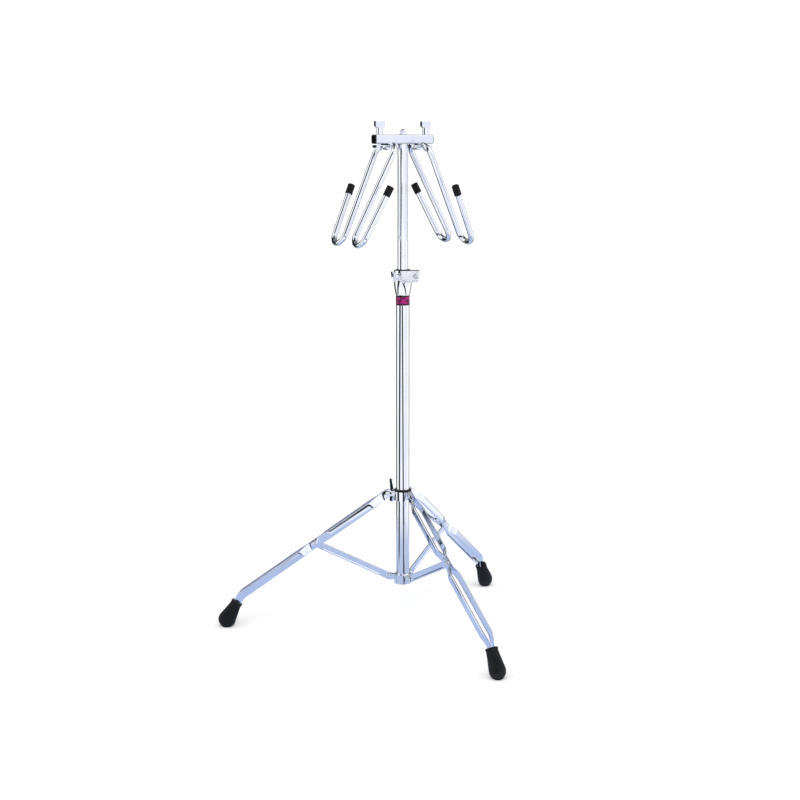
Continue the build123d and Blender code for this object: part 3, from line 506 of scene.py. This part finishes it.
# A strap is a C section carried down the leg: u runs along it, x and y are the place in the leg's plane,
# and the foot bend turns it. The section's web stands at the half gap, and its flanges turn in where
# the straps are apart.
def strap(legName, strapName, hand):
    f = legForm
    pivot, along, side, up = legFrame(legName)
    half, wall, flat = f["width"] / 2, f["wall"], f["flatCorner"]
    total = f["length"] + f["insert"]
    u = np.concatenate([np.linspace(-half, 0, 9)[:-1], np.linspace(0, total, 190)])
    bend = math.radians(f["footSlope"] - f["slope"])
    turned = bend * smoothStep((u - f["length"] + f["footBend"] / 2) / f["footBend"])
    step = np.diff(u, prepend=u[0])
    x = np.cumsum(np.cos(turned) * step) - half
    y = -np.cumsum(np.sin(turned) * step)
    gap = halfGap(x)

    # half the width: a half circle at the pivot, rounded corners at the far end
    nearEnd = np.sqrt(np.clip(1 - np.clip(-u / half, 0, 0.9999) ** 2, 0, 1))
    farEnd = np.sqrt(np.clip(1 - np.clip((u - total) / f["farRound"] + 1, 0, 0.999) ** 2, 0.02, 1))
    high = half * nearEnd * farEnd

    # the section as pairs of sideways and across places, each a column over u
    grow = np.clip((gap - f["flatUntil"]) / (f["spread"] - f["flatUntil"]), 0, 1)
    outerRadius = flat + (f["corner"] - flat) * grow
    innerRadius = np.maximum(outerRadius - wall, f["leastCorner"])
    turn = np.linspace(0, np.pi / 2, 6)
    outer = [(gap + wall - outerRadius * (1 - np.cos(a)), high - outerRadius * (1 - np.sin(a))) for a in turn]
    inner = []
    for a in turn[::-1]:
        rolled = wall * np.sin(a) ** 0.5 + innerRadius * (1 - np.sin(a))
        drop = grow * rolled + (1 - grow) * flat * (1 - np.sin(a))
        inner.append((gap - innerRadius * (1 - np.cos(a)), high - drop))
    lip = gap + wall - np.maximum(outerRadius, wall * 0.9) - grow * f["flange"]
    tucked = lip - f["lipRound"] * grow
    edge = [(lip, high), (tucked, high - wall * 0.3), (tucked, high - wall * 0.7),
            (lip, high - wall * np.maximum(grow, 0.25))]
    upper = [np.stack(pair, -1) for pair in outer + edge + inner]
    lower = [pair * (1, -1) for pair in upper[::-1]]
    section = np.stack(upper + lower, 1)

    centre = pivot + (x[:, None] * along + y[:, None] * up) * mm
    upHere = np.cos(turned)[:, None] * up + np.sin(turned)[:, None] * along
    grid = centre[:, None] + (hand * section[..., 0:1] * side + section[..., 1:2] * upHere[:, None]) * mm
    piece = gridMesh(f"{legName}Leg{strapName.title()}Strap", capped(grid))
    piece.data.set_sharp_from_angle(angle=math.radians(50))
    return finished(piece, f"leg_{legName}_strap_{strapName}", material="strapChrome")


for legName in legAzimuths:
    strap(legName, "near", 1)
    strap(legName, "far", -1)
print("legs made")

# Feet

footForm = {
    "topDistance": 17.0, "mouthDepth": 6.0, "mouthRadius": 8.4,
    "topWide": 12.7, "topThick": 13.2, "wide": 19.2, "thick": 16.6,
    "rim": [(0.0, 8.5), (0.0, 12.9, 1.4), (4.2, 13.2, 0.9), (4.6, 12.3, 0.5), (7.0, 12.4)], "rimRadius": 12.9,
    "pressedUnder": 0.0012, "pressed": 0.6,
}


# A foot is a row of ellipses down its axis: a rim, a flank whose half width and half thickness swell
# toward the floor, and a quarter ellipse that closes it; what comes near the floor is pressed flat.
def foot(legName):
    f = footForm
    pivot, along, side, up = legFrame(legName)
    slope = math.radians(legForm["footSlope"])
    down = outward(legAzimuths[legName]) * math.cos(slope) - np.array([0, 0, math.sin(slope)])
    across = np.cross(side, down)
    start = pivot + along * legForm["length"] * mm
    floorAt = start[2] / mm / math.sin(slope)
    length = floorAt - f["wide"] * 1.02 - f["topDistance"]

    rim = roundedLine(f["rim"], 5)
    rimEnd, rimShare = rim[-1, 0], rim[-1, 1] / f["rimRadius"]
    flank = np.linspace(0, 1, 26)[1:]
    flankAt = rimEnd + (length - rimEnd) * flank
    swell = smoothStep(flank * 0.92 + 0.04) * 0.55 + flank * 0.45
    dome = np.linspace(0, np.pi / 2, 16)[1:]
    at = np.concatenate([[f["mouthDepth"], 0.0], rim[:, 0], flankAt, length + f["wide"] * np.sin(dome)])
    share = np.concatenate([[0.0, f["mouthRadius"] / f["rimRadius"]], rim[:, 1] / f["rimRadius"],
                            np.interp(flankAt, [rimEnd, length], [rimShare, 1.0]), np.cos(dome)])
    grow = np.concatenate([np.zeros(2 + len(rim)), swell, np.ones(len(dome))])
    wideHere = (f["topWide"] + (f["wide"] - f["topWide"]) * grow) * share
    thickHere = (f["topThick"] + (f["thick"] - f["topThick"]) * grow) * share

    t = np.linspace(0, 2 * np.pi, 72, endpoint=False)[None, :, None]
    ring = wideHere[:, None, None] * np.cos(t) * across + thickHere[:, None, None] * np.sin(t) * side
    grid = start + ((f["topDistance"] + at)[:, None, None] * down + ring) * mm
    height = grid[..., 2]
    grid[..., 2] = np.where(height < f["pressedUnder"], np.maximum(height, 0.0) * f["pressed"], height)
    return finished(gridMesh(f"{legName}Foot", grid), f"leg_{legName}_rubber_foot", material="footRubber")


for legName in legAzimuths:
    foot(legName)
    paint(nodes[f"leg_{legName}_foot_spacer"], "blackNylon")
print("feet made")

# Braces

braceForm = {
    "width": 15.5, "thick": 3.4, "edge": 0.55, "hollow": 0.6, "plainEnd": 14.0, "run": 9.0,
    "flatShare": 0.42, "riseShare": 0.3,
}


# A brace is a pressed strip: its face dips between raised rims, except near the round ends.
def brace(legName):
    f = braceForm
    hub = jointPlace(f"brace_{legName}_fold")
    pivot, along, side, up = legFrame(legName)
    waist = pivot + along * legForm["waist"] * mm
    axis = unit(waist - hub)
    across = np.cross(side, axis)
    length = np.linalg.norm(waist - hub) / mm
    half, thick = f["width"] / 2, f["thick"] / 2
    a = np.linspace(-np.pi / 2, 0, 13)
    roundEnd = half * np.cos(a + np.pi / 2)[::-1]
    u = np.concatenate([half * np.sin(a), np.linspace(0, length, 90)[1:-1], length + roundEnd])
    over = np.maximum(np.maximum(-u, u - length), 0)
    wide = np.sqrt(np.clip(half ** 2 - over ** 2, 0.0004, None))[:, None] - f["edge"]
    fromEnd = smoothStep((u - f["plainEnd"]) / f["run"]) * smoothStep((length - f["plainEnd"] - u) / f["run"])
    s = np.linspace(-1, 1, 21)[None, :]
    trough = 1 - smoothStep((np.abs(s) - f["flatShare"]) / f["riseShare"])
    face = np.stack([thick - f["hollow"] * fromEnd[:, None] * trough, s * wide], -1)
    turn = np.linspace(0, np.pi, 9)[None, 1:-1]
    topEdge = np.stack([np.cos(turn) * thick + 0 * wide, wide + np.sin(turn) * f["edge"]], -1)
    section = np.concatenate([face, topEdge, -face, -topEdge], 1)
    centre = hub + u[:, None] * axis * mm
    grid = centre[:, None] + (section[..., 0:1] * side + section[..., 1:2] * across) * mm
    return finished(gridMesh(f"{legName}Brace", capped(grid)), f"brace_{legName}", material="strapChrome")


for legName in legAzimuths:
    brace(legName)
print("braces made")

# Cradle arms and tips

armForm = {
    "radius": 6.0, "halfRun": 41.4, "drop": 201.0, "spread": 95.3, "pullIn": 20.0, "hook": 46.0,
    "hookLength": 133.0, "flare": 3.0, "corner": 22.0, "hookEase": 0.8, "endDome": 0.6,
    "tipLength": 22.0, "tipOver": 2.5,
}
# the tip's outline, as radius and height: bore, mouth bead, flank, rounded top, dimple
tipTop = armForm["tipLength"]
tipLine = [(6.02, 3.0), (6.02, 0.0, 0.0), (7.95, 0.0, 0.7), (7.95, 2.2, 0.5), (7.65, 2.7, 0.4),
           (7.8, tipTop, 2.2), (2.4, tipTop, 0.5), (1.6, tipTop - 0.5, 0.4), (0.0, tipTop - 0.5)]


# the corners of one end of an arm, from its run under the bar to the tip, and the direction the hook rises
def armEnd(side, end):
    f = armForm
    run = jointPlace(f"arm_{'left' if side < 0 else 'right'}_tilt") / mm
    corner = np.array([run[0], end * f["halfRun"], run[2]])
    leg = np.array([side * f["spread"], -end * f["pullIn"], -f["drop"]])
    fall = unit(leg)
    across = np.array([0.0, end, 0.0])
    spread = unit(across - fall * (across @ fall))
    hookInner = corner + leg
    hookOuter = hookInner + spread * f["hook"]
    flare = math.radians(f["flare"])
    rise = spread * math.sin(flare) - fall * math.cos(flare)
    return [corner, hookInner, hookOuter, hookOuter + rise * f["hookLength"]], rise


for sideName, side in (("left", -1), ("right", 1)):
    front, frontRise = armEnd(side, -1)
    back, backRise = armEnd(side, 1)
    f = armForm
    bend, corner = f["hook"] / 2 - f["hookEase"], f["corner"]
    turns = np.array([bend, bend, corner, corner, bend, bend])
    route = roundedPath(np.array(front[::-1] + back) * mm, turns * mm)
    arm = rod(f"{sideName}Arm", route, f["radius"] * mm, np.array([1.0, 0, 0]), f["endDome"] * mm)
    finished(arm, f"arm_{sideName}", material="rodChrome")
    for tipName, top, rise in (("front", front[-1], frontRise), ("back", back[-1], backRise)):
        mouth = top - rise * (f["tipLength"] - f["tipOver"])
        line = roundedLine(tipLine, 6)
        tip = lathe(f"{sideName}{tipName.title()}Tip", line, origin=mouth, axis=rise, segments=56)
        finished(tip, f"tip_{sideName}_{tipName}", material="tipRubber")
print("cradle arms made")

# Castings, screws and small parts with rounded edges

# each node's edge width in millimetres, the steps round the edge, and its material
softEdges = {
    "height_clamp": (1.0, 3, "castChrome"), "leg_collar": (0.7, 3, "castChrome"),
    "brace_hub": (0.6, 3, "castChrome"), "cradle_bar": (0.5, 3, "castChrome"),
    "jaw_left": (0.6, 3, "castChrome"), "jaw_right": (0.6, 3, "castChrome"),
    "t_bolt_left": (0.9, 3, "castChrome"), "t_bolt_right": (0.9, 3, "castChrome"),
    "jaw_nut_left": (0.4, 2, "boltChrome"), "jaw_nut_right": (0.4, 2, "boltChrome"),
    "collar_wing_screw": (0.8, 3, "castChrome"), "clamp_wing_bolt": (0.8, 3, "castChrome"),
    "clamp_pinch_screw": (0.5, 3, "boltChrome"), "clamp_pinch_nut": (0.4, 2, "boltChrome"),
    "acorn_nut": (0.35, 2, "castChrome"), "pivot_washer": (0.25, 2, "boltChrome"),
    "collar_rivets": (0.7, 3, "castChrome"), "hub_rivets": (0.7, 3, "castChrome"),
    "jaw_rivets": (0.5, 3, "castChrome"),
    "hub_set_screw": (0.3, 2, "boltChrome"), "bar_end_plugs": (0.4, 3, "blackNylon"),
    "leg_collar_bushing": (0.5, 3, "blackNylon"), "clamp_bushing": (0.5, 3, "blackNylon"),
    "tube_bottom_plug": (0.4, 2, "blackNylon"),
    "leg_left_waist_rivets": (0.7, 3, "castChrome"), "leg_front_waist_rivets": (0.7, 3, "castChrome"),
    "leg_back_waist_rivets": (0.7, 3, "castChrome"),
}
for node, (width, segments, material) in softEdges.items():
    paint(softened(node, width, segments), material)
for node, material in (("upper_tube_guide", "blackNylon"), ("mast_top_insert", "boltChrome"),
                       ("pivot_bolt", "boltChrome")):
    paint(nodes[node], material)
print("small parts made")

# Studio

studio = {
    "azimuth": -29.145, "elevation": 9.283, "distance": 3.3405, "height": 1.051, "lens": 71.118, "sensor": 36,
    "aside": 0.1, "floorRadius": 14.0, "lightsAimAt": 0.6,
}
turn = math.radians(studio["azimuth"])
toCamera = np.array([math.sin(turn), -math.cos(turn), 0.0])
toLeft = -np.array([math.cos(turn), math.sin(turn), 0.0])

cameraData = bpy.data.cameras.new("camera")
cameraData.lens = studio["lens"]
cameraData.sensor_width = studio["sensor"]
cameraData.clip_end = 60
camera = bpy.data.objects.new("camera", cameraData)
bpy.context.scene.collection.objects.link(camera)
aim = math.radians(studio["azimuth"] + studio["aside"])
pitch = math.radians(studio["elevation"])
forward = Vector((-math.sin(aim) * math.cos(pitch), math.cos(aim) * math.cos(pitch), -math.sin(pitch)))
camera.location = Vector((toCamera * studio["distance"]).tolist()) + Vector((0, 0, studio["height"]))
camera.rotation_mode = "QUATERNION"
camera.rotation_quaternion = forward.to_track_quat("-Z", "Y")
bpy.context.scene.camera = camera
bpy.context.scene.view_settings.view_transform = "Standard"  # white stays white


room = {
    "white": (1.0, 1.0, 1.0), "lilac": (0.62, 0.64, 0.93), "gap": (0.006, 0.012, 0.018),
    "mirrored": 1.2, "even": 1.1, "lilacSide": 0.5, "lilacAhead": 0.25,
}


# World: reflections see a white room with dark gaps, two of which lean with height; everything else sees
# even white. Swing is the angle left of the camera's side of the room and climb is the angle above the
# horizon, both in degrees, and they stand still in the room.
def makeWorld():
    world = bpy.data.worlds.new("studio")
    bpy.context.scene.world = world
    world.use_nodes = True
    s = Shader(world.node_tree)
    ray = s.node("ShaderNodeTexCoord")["Generated"]
    ahead = s.vector("DOT_PRODUCT", ray, tuple(toCamera))["Value"]
    left = s.vector("DOT_PRODUCT", ray, tuple(toLeft))["Value"]
    up = s.vector("DOT_PRODUCT", ray, (0, 0, 1))["Value"]
    swing = s.math("ARCTAN2", left, ahead) * (180 / math.pi)
    climb = s.math("ARCSINE", up) * (180 / math.pi)
    lean = (climb + 2.6) * (1.8 - 1.2 * s.step(climb, -3.0, 4.0))
    first = s.band(swing + lean, 43.0, 15.0, 4.0) * (1 - s.step(climb, 46.0, 54.0))
    second = s.band(swing - (climb + 9.0) * 2.4, -1.5, 11.0, 3.0) * (1 - s.step(climb, -5.4, -5.0))
    patch = s.band(climb, 32.0, 13.0, 3.0) * s.band(swing, 25.0, 28.0, 6.0)
    leftEnd = s.band(swing, 122.0, 12.0, 4.0) * 0.9
    behind = s.step(s.math("ABSOLUTE", swing), 118.0, 134.0) * 0.8
    overhead = s.step(climb, 58.0, 66.0) * 0.9
    below = s.band(climb, -60.0, 8.0, 3.0) * 0.9
    dark = s.math("MINIMUM", first + second + patch + leftEnd + behind + overhead + below, 1.0)
    lilacSide = s.band(swing, -60.0, 26.0, 10.0) * s.band(climb, 0.0, 16.0, 6.0)
    lilacAhead = s.band(swing, 14.0, 30.0, 12.0)
    lilac = lilacSide * room["lilacSide"] + lilacAhead * room["lilacAhead"]
    walls = s.mixColour(dark, s.mixColour(lilac, room["white"], room["lilac"]), room["gap"])
    mirrored = s.node("ShaderNodeBackground", {}, (walls, room["mirrored"]))
    even = s.node("ShaderNodeBackground", {}, ((*room["white"], 1), room["even"]))
    path = s.node("ShaderNodeLightPath")
    mix = s.node("ShaderNodeMixShader", {}, (path["Is Glossy Ray"], even[0], mirrored[0]))
    s.node("ShaderNodeOutputWorld", {}, {0: mix[0]})


makeWorld()


# the floor's paper colour, and the periwinkle glow of its painted reflection
floorForm = {
    "paper": (0.93, 0.93, 0.93, 1), "mirrored": (0.53, 0.63, 0.88, 1), "clearsFrom": 0.65, "clearsTo": 1.15,
    "wobble": 0.5,
}


# Floor: pale for the eye. For reflections it glows periwinkle near the stand, a painted reflection, and clears
# to the room beyond.
def makeFloor():
    s = newMaterial("floorPaper")
    p = s.position()
    flat = s.vector("MULTIPLY", p, (1, 1, 0))[0]
    away = s.vector("LENGTH", flat)["Value"]
    wobble = s.noise(p, 2.2, 3.0) - 0.5
    f = floorForm
    near = 1 - s.step(away + wobble * f["wobble"], f["clearsFrom"], f["clearsTo"])
    ahead = s.vector("DOT_PRODUCT", p, tuple(toCamera))["Value"]
    left = s.vector("DOT_PRODUCT", p, tuple(toLeft))["Value"]
    swing = s.math("ARCTAN2", left, ahead) * (180 / math.pi)
    # painted reflection: the floor glows periwinkle for glossy rays only; two clear gaps are cut in it, and it
    # clears with distance
    gapOne = s.band(swing, -20.0, 13.0, 5.0) * s.step(away, 0.30, 0.42)
    gapTwo = s.band(swing, 64.0, 12.0, 5.0) * s.step(away, 0.52, 0.68)
    paintedReflectionCover = near * (1 - gapOne) * (1 - gapTwo)
    tint = s.node("ShaderNodeEmission", {}, (f["mirrored"], 1.0))
    clear = s.node("ShaderNodeBsdfTransparent")
    mirrored = s.node("ShaderNodeMixShader", {}, (paintedReflectionCover, clear[0], tint[0]))
    paper = s.node("ShaderNodeBsdfDiffuse", {}, (f["paper"], 1.0))
    path = s.node("ShaderNodeLightPath")
    mix = s.node("ShaderNodeMixShader", {}, (path["Is Glossy Ray"], paper[0], mirrored[0]))
    s.node("ShaderNodeOutputMaterial", {}, {0: mix[0]})


makeFloor()
around = np.linspace(0, 2 * np.pi, 96, endpoint=False)
radii = np.array([0.0, 1.0, 4.0, studio["floorRadius"]])
floorGrid = radii[:, None, None] * np.stack([np.cos(around), np.sin(around), 0 * around], -1)[None]
floor = gridMesh("floorPaper", floorGrid)
if floor.data.polygons[0].normal.z < 0:
    floor.data.flip_normals()
floor.data.materials.append(materials["floorPaper"])


# a soft light aimed at the stand and hidden from reflections
def softbox(name, place, size, power):
    light = bpy.data.lights.new(name, "AREA")
    light.shape = "RECTANGLE"
    light.size, light.size_y = size
    light.energy = power
    made = bpy.data.objects.new(name, light)
    made.location = place
    made.rotation_mode = "QUATERNION"
    made.rotation_quaternion = (Vector((0, 0, studio["lightsAimAt"])) - Vector(place)).to_track_quat("-Z", "Y")
    made.visible_glossy = False
    bpy.context.scene.collection.objects.link(made)


softbox("keyBox", (-1.4, -2.2, 2.6), (1.2, 1.8), 14)
softbox("sideBox", (2.4, -0.6, 1.6), (0.7, 2.0), 9)
print("studio made")
